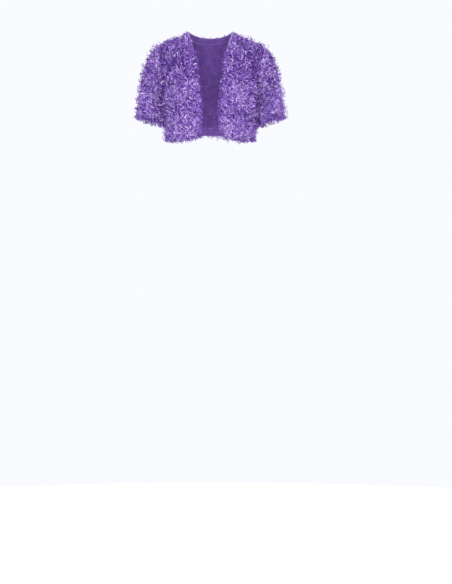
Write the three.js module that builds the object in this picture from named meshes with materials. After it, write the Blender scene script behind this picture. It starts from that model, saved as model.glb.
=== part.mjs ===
// A cropped bolero with short sleeves and open fronts, in a shaggy tinsel pile, in the hollow form it has
// when it is worn. Millimetres, +Z up. The fronts face -Y and +X is the wearer's left.
// The origin lies on the shoulder line, midway between the shoulders, where the garment is held.

import * as THREE from 'three';

// Cloth and pile
const BACKING = 1.8; // thickness of the knitted backing
const PILE = 9; // reach of the dense pile over the backing
const EDGE_PILE = 1.2; // pile left standing at the very edge of a hem
const EDGE_ROUND = 8; // the pile rounds over within this distance of a free edge
const NECK_PILE = 2.5; // shorter pile where the shoulder seam meets the neckline
const SEAM_GAP = 0.3; // gap between two sewn pieces
const MAX_MITRE = 2; // longest stretch of a wall's thickness at a sharp seam
const CREASE = [0.5, 0.9]; // a seam shut to the first of these cosines has no pile, to the second all of it
const MEETING_SHARE = 0.8; // share of the way to a facing wall that the pile may fill
const SMALLEST_PILE = 0.15;
const NEIGHBOUR = 4; // nodes nearer than this belong to the same stretch of wall
const NECK_FADE = [15, 70]; // distances from the neck point over which the pile grows to its full length
const UNDERARM_FADE = [8, 55]; // distances from the underarm over which the pile rises from lying flat

// Sections of the body, from the hem up to the shoulder line. z is the height, side the half width, front
// and back the depths before and behind the shoulder line, lift the share of the shoulder slope that the
// section takes, and edge the distance of the front edge from the middle.
const SECTIONS = [
  { z: -309, side: 131, front: 108, back: 84, lift: 0, edge: 28 },
  { z: -270, side: 130, front: 106, back: 82, lift: 0, edge: 27 },
  { z: -225, side: 133, front: 109, back: 87, lift: 0, edge: 27 },
  { z: -175, side: 142, front: 113, back: 92, lift: 0.03, edge: 29 },
  { z: -120, side: 151, front: 110, back: 98, lift: 0.12, edge: 36 },
  { z: -75, side: 159, front: 94, back: 94, lift: 0.35, edge: 43 },
  { z: -38, side: 164, front: 68, back: 74, lift: 0.68, edge: 55 },
  { z: -12, side: 166, front: 36, back: 42, lift: 0.92, edge: 64 },
  { z: 0, side: 166, front: 0, back: 0, lift: 1, edge: 66 },
];
const TOP = SECTIONS.length - 1;
const SQUARENESS = 0.85; // exponent of the rounded sections, 1 is an ellipse and 0 a box

// Height of the shoulder line over the distance from the middle
const SHOULDER_LINE = [
  { x: 0, z: 27 },
  { x: 35, z: 27 },
  { x: 66, z: 25.5 },
  { x: 93, z: 8 },
  { x: 120, z: -8 },
  { x: 152, z: -20 },
  { x: 175, z: -30 },
];

// The hem dips under the bust and rises round the corner of the front edge
const FRONT_HEM = [
  { x: 24, z: 9 },
  { x: 34, z: 1 },
  { x: 60, z: -6 },
  { x: 95, z: -9 },
  { x: 128, z: 2 },
];
const BACK_HEM = [
  { x: 0, z: 15 },
  { x: 60, z: 13 },
  { x: 128, z: 2 },
];
const HEM_BAND = 50; // height over which the dip of the hem fades out

// Shape that the bust darts give to each front
const BUST = { x: 80, z: -184, height: 13, radius: 46 };

// Armhole: where the shoulder seam ends, the level of its lowest point and how far round it lies
const SHOULDER_X = 152;
const UNDERARM_LEVEL = 2.7;

// Neckline behind the neck
const NECK_X = 66;
const NECK_DROP = 1.12; // in levels below the shoulder line

// Sleeve: the cuff's middle, its half width towards the outside, its half depth, the way the cloth runs
// down into it and how far that way spreads, and the way the sleeve leaves the armhole at the top, the
// front, the underarm and the back
const CUFF = {
  centre: new THREE.Vector3(184.2, -3, -248.8),
  outwards: new THREE.Vector3(37.3, 0, 14.6),
  depth: 57,
  run: new THREE.Vector3(9, 0, -76),
  flare: new THREE.Vector3(8, 0, 0),
};
const SLEEVE_START = {
  top: new THREE.Vector3(50, 0, -25),
  front: new THREE.Vector3(40, -10, -34),
  under: new THREE.Vector3(22, 0, -16),
  back: new THREE.Vector3(40, 12, -34),
};

// Soft folds: each is a trough along a line across the piece, seen from the front or from behind.
// Depth is in millimetres, and a negative depth is a ridge.
const FRONT_FOLDS = [
  { x0: 116, z0: -78, x1: 128, z1: -150, depth: 4.5, width: 13 },
  { x0: 104, z0: -118, x1: 88, z1: -152, depth: -2.5, width: 12 },
  { x0: 112, z0: -222, x1: 84, z1: -262, depth: 3, width: 13 },
  { x0: 56, z0: -232, x1: 50, z1: -302, depth: 3, width: 12 },
  { x0: 96, z0: -262, x1: 100, z1: -306, depth: -2.5, width: 13 },
  { x0: 62, z0: -96, x1: 70, z1: -134, depth: 2.5, width: 12 },
];
const BACK_FOLDS = [
  { x0: 0, z0: -120, x1: 2, z1: -286, depth: 4, width: 20 },
  { x0: 112, z0: -88, x1: 122, z1: -158, depth: 4, width: 14 },
  { x0: 66, z0: -196, x1: 58, z1: -288, depth: -3, width: 17 },
  { x0: 104, z0: -216, x1: 92, z1: -262, depth: 2.5, width: 13 },
];
const SLEEVE_FOLDS = [
  { turn: 38, from: 0.3, to: 1, depth: 3.5, width: 14 },
  { turn: 78, from: 0.25, to: 0.9, depth: -3, width: 15 },
  { turn: 112, from: 0.35, to: 1, depth: 4, width: 13 },
  { turn: 238, from: 0.3, to: 1, depth: 4, width: 15 },
  { turn: 284, from: 0.25, to: 0.85, depth: -3, width: 16 },
  { turn: 322, from: 0.4, to: 1, depth: 3, width: 14 },
];
const FOLD_FADE = 0.22; // share of the sleeve's length over which a fold fades in

// Mesh steps
const EDGE_STEPS = [0, 2.5, EDGE_ROUND]; // distances of the first rows and columns from a free edge
const HEM_LEVELS = [0, 0.06, 0.19]; // the same rows as levels of SECTIONS
const FRONT_EDGE_SHARES = [0, 0.018, 0.055]; // the same columns as shares of a front's width
const NECKLINE_STEPS = [0, 6]; // distances of the top rows of the back from the neckline
const SIDE_STEPS = 8; // rows between the hem's edge and the underarm
const ARMHOLE_STEPS = 14; // rows round half an armhole
const FRONT_COLUMNS = 10;
const NECK_COLUMNS = 4;
const SLEEVE_ROWS = 9;
const CUFF_ROWS = [
  { t: 0.945, edge: EDGE_ROUND },
  { t: 0.983, edge: 2.5 },
  { t: 1, edge: 0 },
];
const SPREAD = 4; // points between two nodes, for measuring the room between walls
const PROBE = 0.004; // step for measuring a surface's slope
const SLEEVE_PROBE = 0.1; // step for finding the way from the armhole into the sleeve

const QUARTER = Math.PI / 2;
const DEGREE = Math.PI / 180;

function lerp(a, b, t) {
  return a + (b - a) * t;
}

// Smooth curve through four neighbouring values
function spline(before, a, b, after, t) {
  const slopeA = (b - before) / 2;
  const slopeB = (after - a) / 2;
  const bend = 2 * (a - b) + slopeA + slopeB;
  const sag = 3 * (b - a) - 2 * slopeA - slopeB;
  return a + t * (slopeA + t * (sag + t * bend));
}

// Smooth height over x, through the rows of a table
function heightAt(rows, x) {
  const at = THREE.MathUtils.clamp(Math.abs(x), rows[0].x, rows[rows.length - 1].x);
  let i = rows.findIndex((row) => row.x >= at) - 1;
  if (i < 0) i = 0;
  const slope = (k) => {
    const low = rows[Math.max(k - 1, 0)];
    const high = rows[Math.min(k + 1, rows.length - 1)];
    return (high.z - low.z) / (high.x - low.x);
  };
  const span = rows[i + 1].x - rows[i].x;
  const t = (at - rows[i].x) / span;
  const rise = rows[i + 1].z - rows[i].z;
  const bend = (slope(i) + slope(i + 1)) * span - 2 * rise;
  const sag = 3 * rise - (2 * slope(i) + slope(i + 1)) * span;
  return rows[i].z + t * (slope(i) * span + t * (sag + t * bend));
}

// A column of SECTIONS at any level. Past the shoulder line the depths change sign, so that the fronts
// pass over into the back without an edge.
function section(level, column) {
  const crosses = column === 'front' || column === 'back';
  const value = (i) => {
    if (i < 0) return 2 * SECTIONS[0][column] - SECTIONS[-i][column];
    if (i > TOP) return SECTIONS[2 * TOP - i][column] * (crosses ? -1 : 1);
    return SECTIONS[i][column];
  };
  const i = Math.floor(level);
  return spline(value(i - 1), value(i), value(i + 1), value(i + 2), level - i);
}

function rounded(value) {
  return Math.sign(value) * Math.abs(value) ** SQUARENESS;
}

// Angle round the body of a point at distance x from the middle
function angleAt(x, level) {
  return Math.asin((x / section(level, 'side')) ** (1 / SQUARENESS));
}

// Distance of a point from the line of a fold
function distanceToFold(fold, x, z) {
  const alongX = fold.x1 - fold.x0;
  const alongZ = fold.z1 - fold.z0;
  const share = ((x - fold.x0) * alongX + (z - fold.z0) * alongZ) / (alongX ** 2 + alongZ ** 2);
  const t = THREE.MathUtils.clamp(share, 0, 1);
  return Math.hypot(x - fold.x0 - t * alongX, z - fold.z0 - t * alongZ);
}

function foldDepth(folds, x, z) {
  return folds.reduce((sum, fold) => {
    const spread = distanceToFold(fold, x, z) / fold.width;
    return sum + fold.depth * Math.exp(-(spread ** 2));
  }, 0);
}

// Body of the garment: angle 0 is the middle of the front, 90 degrees the side seam and 180 the middle of
// the back; level counts SECTIONS from the hem to the shoulder line
function bodyPoint(angle, level) {
  const x = section(level, 'side') * rounded(Math.sin(angle));
  const inFront = angle <= QUARTER;
  const depth = inFront ? -section(level, 'front') : section(level, 'back');
  let y = depth * Math.abs(rounded(Math.cos(angle)));
  let z = section(level, 'z') + section(level, 'lift') * heightAt(SHOULDER_LINE, x);
  const aboveHem = (z - SECTIONS[0].z) / HEM_BAND;
  if (aboveHem < 1) z += heightAt(inFront ? FRONT_HEM : BACK_HEM, x) * (1 - Math.max(aboveHem, 0)) ** 2;
  if (inFront) {
    const spread = Math.hypot(x - BUST.x, z - BUST.z) / BUST.radius;
    y -= BUST.height * Math.exp(-(spread ** 2));
    y += foldDepth(FRONT_FOLDS, x, z);
  } else {
    y -= foldDepth(BACK_FOLDS, Math.abs(x), z);
  }
  return new THREE.Vector3(x, y, z);
}

// Seam between body and sleeve: turn is 0 at the shoulder seam, 90 degrees at the front, 180 at the
// underarm and 270 at the back
const SHOULDER_ANGLE = angleAt(SHOULDER_X, TOP);
const NECK_ANGLE = angleAt(NECK_X, TOP);

function armholePlace(turn) {
  const wrapped = ((turn % 360) + 360) % 360;
  const inFront = wrapped <= 180;
  const half = (inFront ? wrapped : 360 - wrapped) * DEGREE / 2;
  const offSide = (QUARTER - SHOULDER_ANGLE) * Math.cos(half);
  return {
    angle: inFront ? QUARTER - offSide : QUARTER + offSide,
    level: TOP - (TOP - UNDERARM_LEVEL) * Math.sin(half),
  };
}

function armholePoint(turn) {
  const place = armholePlace(turn);
  return bodyPoint(place.angle, place.level);
}

function cuffPoint(turn) {
  const point = CUFF.centre.clone();
  point.addScaledVector(CUFF.outwards, Math.cos(turn * DEGREE));
  point.y -= CUFF.depth * Math.sin(turn * DEGREE);
  return point;
}

// Way the sleeve leaves the armhole, blended between its four named directions
function startRun(turn) {
  const up = Math.cos(turn * DEGREE);
  const forward = Math.sin(turn * DEGREE);
  const upright = up > 0 ? SLEEVE_START.top : SLEEVE_START.under;
  const level = forward > 0 ? SLEEVE_START.front : SLEEVE_START.back;
  return upright.clone().multiplyScalar(up ** 2).addScaledVector(level, forward ** 2);
}

function sleeveFoldDepth(turn, t) {
  return SLEEVE_FOLDS.reduce((sum, fold) => {
    const spread = (turn - fold.turn) / fold.width;
    const starts = THREE.MathUtils.smoothstep(t, fold.from, fold.from + FOLD_FADE);
    const ends = fold.to < 1 ? 1 - THREE.MathUtils.smoothstep(t, fold.to - FOLD_FADE, fold.to) : 1;
    return sum + fold.depth * Math.exp(-(spread ** 2)) * starts * ends;
  }, 0);
}

// Sleeve: t is 0 at the armhole and 1 at the cuff
function sleevePoint(turn, t) {
  const start = armholePoint(turn);
  const end = cuffPoint(turn);
  const cuffRun = CUFF.run.clone().addScaledVector(CUFF.flare, Math.cos(turn * DEGREE));
  const run = new THREE.CubicBezierCurve3(
    start,
    start.clone().add(startRun(turn)),
    end.clone().sub(cuffRun),
    end,
  );
  const point = run.getPoint(t);
  const inwards = new THREE.Vector3(CUFF.centre.x - point.x, CUFF.centre.y - point.y, 0).normalize();
  return point.addScaledVector(inwards, sleeveFoldDepth(((turn % 360) + 360) % 360, t));
}

// Outward direction of a surface, from its slopes along its two parameters
function outwardAt(surface, a, b, stepA, stepB) {
  const alongA = surface(a + stepA, b).sub(surface(a - stepA, b));
  const alongB = surface(a, b + stepB).sub(surface(a, b - stepB));
  return alongA.cross(alongB).normalize();
}

function bodyOutward(angle, level) {
  return outwardAt(bodyPoint, angle, level, PROBE, PROBE);
}

function sleeveOutward(turn, t) {
  const step = PROBE / DEGREE;
  const inside = THREE.MathUtils.clamp(t, PROBE, 1 - PROBE);
  return outwardAt(sleevePoint, turn, inside, step, PROBE);
}

// A node of a sheet: its place, its outward direction, the stretch of its wall at a mitred seam, and how
// far it lies from the nearest free edge
function sheetNode(place, outward, options = {}) {
  return { place, outward, mitre: 1, edge: Infinity, reach: PILE, onCrease: false, ...options };
}

// Node on the armhole seam, on the body's or the sleeve's side of the gap
function armholeNode(turn, towardsSleeve) {
  const place = armholePlace(turn);
  const body = bodyOutward(place.angle, place.level);
  const sleeve = sleeveOutward(turn, 0);
  const outward = body.clone().add(sleeve).normalize();
  const seam = armholePoint(turn + 1).sub(armholePoint(turn - 1)).normalize();
  const across = outward.clone().cross(seam).normalize();
  const sleeveWay = sleevePoint(turn, SLEEVE_PROBE).sub(sleevePoint(turn, 0));
  if (across.dot(sleeveWay) < 0) across.negate();
  const shift = towardsSleeve ? SEAM_GAP / 2 : -SEAM_GAP / 2;
  const point = armholePoint(turn).addScaledVector(across, shift);
  const openness = outward.dot(body);
  const mitre = 1 / Math.max(openness, 1 / MAX_MITRE);
  const reach = PILE * THREE.MathUtils.smoothstep(openness, ...CREASE);
  return sheetNode(point, outward, { mitre, reach, onCrease: true });
}

// Rows that the fronts and the back share at the side seam and the armhole
const sideRows = HEM_LEVELS.map((level) => ({ level, angle: QUARTER }));
for (let i = 1; i < SIDE_STEPS; i++) {
  const level = lerp(HEM_LEVELS[2], UNDERARM_LEVEL, i / SIDE_STEPS);
  sideRows.push({ level, angle: QUARTER });
}
for (let i = 0; i <= ARMHOLE_STEPS; i++) {
  const turn = 180 * (1 - i / ARMHOLE_STEPS);
  const place = armholePlace(turn);
  sideRows.push({ level: place.level, angle: place.angle, turn });
}
const LAST_ROW = sideRows.length - 1;

// Shares of a row's length where the columns lie, close together at the front edge
const frontShares = [...FRONT_EDGE_SHARES];
for (let i = 1; i <= FRONT_COLUMNS; i++) {
  frontShares.push(lerp(FRONT_EDGE_SHARES[2], 1, i / FRONT_COLUMNS));
}

// Levels of the rows along a free edge, close together at the hem
function freeLevel(row, top) {
  const last = HEM_LEVELS.length - 1;
  if (row <= last) return HEM_LEVELS[row];
  return lerp(HEM_LEVELS[last], top, (row - last) / (LAST_ROW - last));
}

// Pushes a node off a side or shoulder seam by half the gap
function offSeam(node, direction) {
  node.place.addScaledVector(direction, SEAM_GAP / 2);
  return node;
}

function bodyNode(angle, level) {
  return sheetNode(bodyPoint(angle, level), bodyOutward(angle, level));
}

function alongAngle(angle, level) {
  return bodyPoint(angle + PROBE, level).sub(bodyPoint(angle - PROBE, level)).normalize();
}

// Pile that a place allows: shorter towards the neck point, and pressed flat in the underarm
const NECK_POINT = bodyPoint(NECK_ANGLE, TOP);
const UNDERARM_POINT = bodyPoint(QUARTER, UNDERARM_LEVEL);

function reachAt(point) {
  const fromNeck = point.distanceTo(NECK_POINT);
  const fromUnderarm = point.distanceTo(UNDERARM_POINT);
  const nearNeck = lerp(NECK_PILE, PILE, THREE.MathUtils.smoothstep(fromNeck, ...NECK_FADE));
  const risen = THREE.MathUtils.smoothstep(fromUnderarm, ...UNDERARM_FADE);
  const nearUnderarm = lerp(SMALLEST_PILE, PILE, risen);
  return Math.min(nearNeck, nearUnderarm);
}

// One front of the wearer's left side: rows from the hem to the shoulder seam, columns from the front edge
// to the side seam and the armhole
function frontGrid() {
  return sideRows.map((side, row) => {
    const edgeLevel = freeLevel(row, TOP);
    const edgeAngle = angleAt(section(edgeLevel, 'edge'), edgeLevel);
    return frontShares.map((share, column) => {
      const angle = lerp(edgeAngle, side.angle, share);
      const level = lerp(edgeLevel, side.level, share);
      const atSide = column === frontShares.length - 1;
      const atShoulder = row === LAST_ROW;
      const onArmhole = atSide && side.turn !== undefined;
      const node = onArmhole ? armholeNode(side.turn, false) : bodyNode(angle, level);
      if (atSide && !onArmhole) offSeam(node, alongAngle(angle, level).negate());
      if (atShoulder || (atSide && side.turn === 180)) offSeam(node, new THREE.Vector3(0, -1, 0));
      const fromEdge = EDGE_STEPS[column] ?? Infinity;
      const fromHem = EDGE_STEPS[row] ?? Infinity;
      node.edge = Math.min(fromEdge, fromHem);
      node.reach = Math.min(node.reach, reachAt(node.place));
      return node;
    });
  });
}

// Whole back: columns from the wearer's left side seam to the right one
function backGrid() {
  const neckShare = NECK_ANGLE / SHOULDER_ANGLE;
  const halfShares = [];
  for (let i = 0; i < NECK_COLUMNS; i++) {
    halfShares.push(neckShare * Math.sin(QUARTER * i / NECK_COLUMNS));
  }
  frontShares.forEach((share) => halfShares.push(lerp(neckShare, 1, share)));
  const half = sideRows.map((side, row) => {
    return halfShares.map((share, column) => {
      const inNeck = share < neckShare;
      const drop = inNeck ? NECK_DROP * Math.sqrt(1 - (share / neckShare) ** 2) : 0;
      const even = freeLevel(row, TOP) / TOP;
      const level = (TOP - drop) * lerp(even, side.level / TOP, share);
      const angle = Math.PI - share * side.angle;
      const atSide = column === halfShares.length - 1;
      const onArmhole = atSide && side.turn !== undefined;
      const node = onArmhole ? armholeNode(360 - side.turn, false) : bodyNode(angle, level);
      if (atSide && !onArmhole) offSeam(node, alongAngle(angle, level));
      const atShoulder = row === LAST_ROW && !inNeck;
      if (atShoulder || (atSide && side.turn === 180)) offSeam(node, new THREE.Vector3(0, 1, 0));
      const fromHem = EDGE_STEPS[row] ?? Infinity;
      const fromNeck = inNeck ? NECKLINE_STEPS[LAST_ROW - row] ?? Infinity : Infinity;
      node.edge = Math.min(fromHem, fromNeck);
      node.reach = Math.min(node.reach, reachAt(node.place));
      return node;
    });
  });
  return half.map((nodes) => [...nodes.slice(1).reverse(), ...nodes.map(mirrored)]);
}

function mirrored(node) {
  const flip = new THREE.Vector3(-1, 1, 1);
  return { ...node, place: node.place.clone().multiply(flip), outward: node.outward.clone().multiply(flip) };
}

// Left sleeve: rows from the armhole to the cuff, columns round the arm
function sleeveGrid() {
  const turns = [];
  for (let i = 0; i < ARMHOLE_STEPS * 2; i++) turns.push(180 * i / ARMHOLE_STEPS);
  const rows = [];
  for (let i = 0; i < SLEEVE_ROWS; i++) {
    rows.push({ t: CUFF_ROWS[0].t * i / SLEEVE_ROWS, edge: Infinity });
  }
  rows.push(...CUFF_ROWS);
  return rows.map((row) => turns.map((turn) => {
    if (row.t === 0) return armholeNode(turn, true);
    const place = sleevePoint(turn, row.t);
    return sheetNode(place, sleeveOutward(turn, row.t), { edge: row.edge, reach: reachAt(place) });
  }));
}

// Points spread over a sheet, closer together than its nodes
function spreadPoints(grid, wraps) {
  const points = [];
  const columnCount = grid[0].length;
  const spans = wraps ? columnCount : columnCount - 1;
  for (let row = 0; row < grid.length - 1; row++) {
    for (let column = 0; column < spans; column++) {
      const next = (column + 1) % columnCount;
      for (let up = 0; up < SPREAD; up++) {
        const left = grid[row][column].place.clone().lerp(grid[row + 1][column].place, up / SPREAD);
        const right = grid[row][next].place.clone().lerp(grid[row + 1][next].place, up / SPREAD);
        for (let i = 0; i < SPREAD; i++) points.push(left.clone().lerp(right, i / SPREAD));
      }
    }
  }
  return points;
}

// Pile over a node: full on open cloth, round at a free edge, and short of half-way to a wall that faces
// it, as in the underarm
function pileOver(node, walls) {
  const overEdge = 1 - Math.min(node.edge / EDGE_ROUND, 1);
  const round = Math.sqrt(1 - overEdge ** 2);
  const open = lerp(EDGE_PILE, node.reach, round);
  if (node.onCrease) return Math.max(open, SMALLEST_PILE);
  const way = new THREE.Vector3();
  const room = walls.reduce((least, wall) => {
    way.subVectors(wall, node.place);
    const ahead = way.dot(node.outward);
    const apart = way.lengthSq();
    if (apart < NEIGHBOUR ** 2 || ahead <= 0) return least;
    return Math.min(least, apart / (2 * ahead));
  }, Infinity);
  return Math.max(Math.min(open, room * MEETING_SHARE - SEAM_GAP), SMALLEST_PILE);
}

// Closed wall between the pile's outer face and the inside of the backing
function wallGeometry(grid, walls, wraps) {
  const rowCount = grid.length;
  const columnCount = grid[0].length;
  const positions = [];
  grid.forEach((nodes) => nodes.forEach((node) => {
    const pile = pileOver(node, walls) * node.mitre;
    const outer = node.place.clone().addScaledVector(node.outward, pile);
    const inner = node.place.clone().addScaledVector(node.outward, -BACKING * node.mitre);
    positions.push(...outer.toArray(), ...inner.toArray());
  }));
  const outerAt = (row, column) => 2 * (row * columnCount + (column % columnCount));
  const innerAt = (row, column) => outerAt(row, column) + 1;
  const triangles = [];
  const corner = (i) => new THREE.Vector3().fromArray(positions, 3 * i);
  const quad = (a, b, c, d) => {
    const acIsShorter = corner(a).distanceTo(corner(c)) <= corner(b).distanceTo(corner(d));
    if (acIsShorter) triangles.push(a, b, c, a, c, d);
    else triangles.push(a, b, d, b, c, d);
  };
  const spans = wraps ? columnCount : columnCount - 1;
  for (let row = 0; row < rowCount - 1; row++) {
    for (let column = 0; column < spans; column++) {
      const next = column + 1;
      quad(outerAt(row, column), outerAt(row, next), outerAt(row + 1, next), outerAt(row + 1, column));
      quad(innerAt(row, column), innerAt(row + 1, column), innerAt(row + 1, next), innerAt(row, next));
    }
  }
  for (let column = 0; column < spans; column++) {
    const next = column + 1;
    const last = rowCount - 1;
    quad(outerAt(0, column), innerAt(0, column), innerAt(0, next), outerAt(0, next));
    quad(outerAt(last, column), outerAt(last, next), innerAt(last, next), innerAt(last, column));
  }
  for (let row = 0; row < rowCount - 1 && !wraps; row++) {
    const up = row + 1;
    const last = columnCount - 1;
    quad(outerAt(row, 0), outerAt(up, 0), innerAt(up, 0), innerAt(row, 0));
    quad(outerAt(row, last), innerAt(row, last), innerAt(up, last), outerAt(up, last));
  }
  const geometry = new THREE.BufferGeometry();
  geometry.setAttribute('position', new THREE.Float32BufferAttribute(positions, 3));
  geometry.setIndex(triangles);
  return geometry;
}

// The same wall on the wearer's right side
function mirroredGeometry(geometry) {
  const mirror = geometry.clone().applyMatrix4(new THREE.Matrix4().makeScale(-1, 1, 1));
  const index = mirror.getIndex();
  for (let i = 0; i < index.count; i += 3) {
    const second = index.getX(i + 1);
    index.setX(i + 1, index.getX(i + 2));
    index.setX(i + 2, second);
  }
  return mirror;
}

const PURPLE = 0x7a52b4;
const tinselPile = new THREE.MeshStandardMaterial({ color: PURPLE, roughness: 0.45, metalness: 0.25 });

function piece(name, geometry) {
  geometry.computeVertexNormals();
  const mesh = new THREE.Mesh(geometry, tinselPile);
  mesh.name = name;
  return mesh;
}

const leftFront = frontGrid();
const back = backGrid();
const leftSleeve = sleeveGrid();
const leftSide = [...spreadPoints(leftFront, false), ...spreadPoints(leftSleeve, true)];
const rightSide = leftSide.map((point) => new THREE.Vector3(-point.x, point.y, point.z));
const walls = [...leftSide, ...rightSide, ...spreadPoints(back, false)];

const frontGeometry = wallGeometry(leftFront, walls, false);
const sleeveGeometry = wallGeometry(leftSleeve, walls, true);
const backGeometry = wallGeometry(back, walls, false);

const bolero = new THREE.Group();
bolero.name = 'bolero';
bolero.add(piece('front_left', frontGeometry));
bolero.add(piece('front_right', mirroredGeometry(frontGeometry)));
bolero.add(piece('back', backGeometry));
bolero.add(piece('sleeve_left', sleeveGeometry));
bolero.add(piece('sleeve_right', mirroredGeometry(sleeveGeometry)));

export default bolero;
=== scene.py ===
# %% [markdown]
# A cropped bolero in shaggy tinsel pile
#
# The garment has five sewn panels: two fronts, one back and two sleeves. Each panel is a knitted backing
# with thousands of curly foil filaments standing on it. The frame gives each panel as a solid wall whose
# inside is the backing and whose outside is the reach of the dense pile, so both come from that one wall.

# %% Load the frame
import math

import bmesh
import bpy
import numpy as np
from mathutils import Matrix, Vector
from mathutils.bvhtree import BVHTree


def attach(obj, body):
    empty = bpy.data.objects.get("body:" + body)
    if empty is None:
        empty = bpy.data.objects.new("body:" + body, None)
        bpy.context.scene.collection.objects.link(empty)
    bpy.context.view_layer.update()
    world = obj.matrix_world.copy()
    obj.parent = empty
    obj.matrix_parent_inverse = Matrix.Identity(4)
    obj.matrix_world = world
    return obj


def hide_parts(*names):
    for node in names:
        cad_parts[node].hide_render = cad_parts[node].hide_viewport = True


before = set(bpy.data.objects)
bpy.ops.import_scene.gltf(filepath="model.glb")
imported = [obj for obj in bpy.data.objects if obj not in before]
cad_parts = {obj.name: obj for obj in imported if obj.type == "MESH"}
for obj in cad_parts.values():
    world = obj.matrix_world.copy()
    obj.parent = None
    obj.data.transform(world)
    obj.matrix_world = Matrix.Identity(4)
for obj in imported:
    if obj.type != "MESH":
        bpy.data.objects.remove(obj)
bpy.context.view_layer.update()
MM = 0.001
print("frame nodes:", ", ".join(sorted(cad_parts)))

# %% [markdown]
# The camera comes first. The photograph is taken level and from far away, with the camera at half the
# height of the whole picture, so the garment hangs in its upper part and its sides stay upright. A long
# lens some metres away gives the same flat perspective.

# %% Camera
PHOTO_WIDTH = 452
PHOTO_HEIGHT = 584
MM_PER_PIXEL = 3.05
ORIGIN_PIXEL_X = 210.5
ORIGIN_PIXEL_Y = 40.0
CAMERA_DISTANCE = 6.0
SENSOR = 36.0

photo_height = PHOTO_HEIGHT * MM_PER_PIXEL * MM
camera_x = (PHOTO_WIDTH / 2 - ORIGIN_PIXEL_X) * MM_PER_PIXEL * MM
camera_z = (ORIGIN_PIXEL_Y - PHOTO_HEIGHT / 2) * MM_PER_PIXEL * MM

camera = bpy.data.objects.new("camera", bpy.data.cameras.new("camera"))
bpy.context.scene.collection.objects.link(camera)
camera.location = (camera_x, -CAMERA_DISTANCE, camera_z)
camera.rotation_euler = (math.pi / 2, 0, 0)
camera.data.sensor_width = SENSOR
camera.data.lens = SENSOR * CAMERA_DISTANCE / photo_height
camera.data.clip_end = 100
bpy.context.scene.camera = camera
print(f"camera: lens {camera.data.lens:.1f} mm, {CAMERA_DISTANCE} m away")

# %% [markdown]
# Shader maths reads best as plain arithmetic. This small class wraps a socket, so that an expression such
# as 1 - mask * 0.5 adds the Math nodes by itself.


# %% Sockets that can be added and multiplied
class Value:
    def __init__(self, finish, socket):
        self.finish = finish
        self.socket = socket

    def maths(self, operation, other=0.5, swap=False):
        first, second = (other, self) if swap else (self, other)
        return self.finish.node("ShaderNodeMath", {"operation": operation}, [first, second])

    def __add__(self, other):
        return self.maths("ADD", other)

    def __sub__(self, other):
        return self.maths("SUBTRACT", other)

    def __mul__(self, other):
        return self.maths("MULTIPLY", other)

    def __rsub__(self, other):
        return self.maths("SUBTRACT", other, swap=True)

    __radd__ = __add__
    __rmul__ = __mul__

    def clamped(self):
        return self.finish.node("ShaderNodeClamp", {}, [self])


class Finish:
    """A material whose nodes are made one call at a time."""

    def __init__(self, name):
        self.material = bpy.data.materials.new(name)
        self.material.use_nodes = True
        self.tree = self.material.node_tree
        self.shader = self.tree.nodes["Principled BSDF"]

    def node(self, kind, settings=None, inputs=(), output=0):
        made = self.tree.nodes.new(kind)
        for name, value in (settings or {}).items():
            if name == "stops":
                self.set_stops(made.color_ramp, value)
            else:
                setattr(made, name, value)
        named = inputs.items() if isinstance(inputs, dict) else enumerate(inputs)
        for key, value in named:
            self.connect(made.inputs[key], value)
        return Value(self, made.outputs[output])

    def connect(self, target, value):
        if isinstance(value, Value):
            self.tree.links.new(value.socket, target)
        else:
            target.default_value = value

    @staticmethod
    def set_stops(ramp, stops):
        while len(ramp.elements) < len(stops):
            ramp.elements.new(0.5)
        for element, (place, colour) in zip(ramp.elements, stops):
            element.position = place
            element.color = (*colour, 1)

    def blend(self, share, first, second, way="MIX"):
        settings = {"data_type": "RGBA", "blend_type": way}
        return self.node("ShaderNodeMix", settings, {0: share, 6: first, 7: second}, output=2)

    def shade(self, **sockets):
        for name, value in sockets.items():
            self.connect(self.shader.inputs[name.replace("_", " ")], value)


print("shader helpers ready")

# %% [markdown]
# Tinsel is a thin foil filament. It is brightest where it turns its flat side to the light, so the real
# cloth is a mix of deep violet, purple, lilac and a few near-white glints. The ramp's near-white end is a
# painted highlight. Each filament carries a map of its own: its length runs along U, and its shade is its
# place in V. The map picks the colour from a ramp, paints shade on the root, where little light comes in,
# and paints short bands of foil near-white as glints, which are also made more metallic and smoother.

# %% Tinsel finish
TINSEL_MAP = "OFBake"
TINSEL_SHADES = [
    (0.00, (0.018, 0.003, 0.088)),
    (0.20, (0.090, 0.024, 0.285)),
    (0.48, (0.248, 0.108, 0.530)),
    (0.74, (0.43, 0.255, 0.725)),
    (0.92, (0.66, 0.50, 0.89)),
    (1.00, (0.97, 0.94, 0.99)),
]
TWIST = 0.9
BANDS_ALONG = 6.0
BANDS_SHUFFLED = 260.0
ROOT_LIGHT = 0.2
LIGHT_GAINED = 1.8
GLINT_FROM = 0.73
GLINT_SHARPNESS = 12
GLINT_COLOUR = (0.90, 0.82, 0.98, 1)


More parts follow.
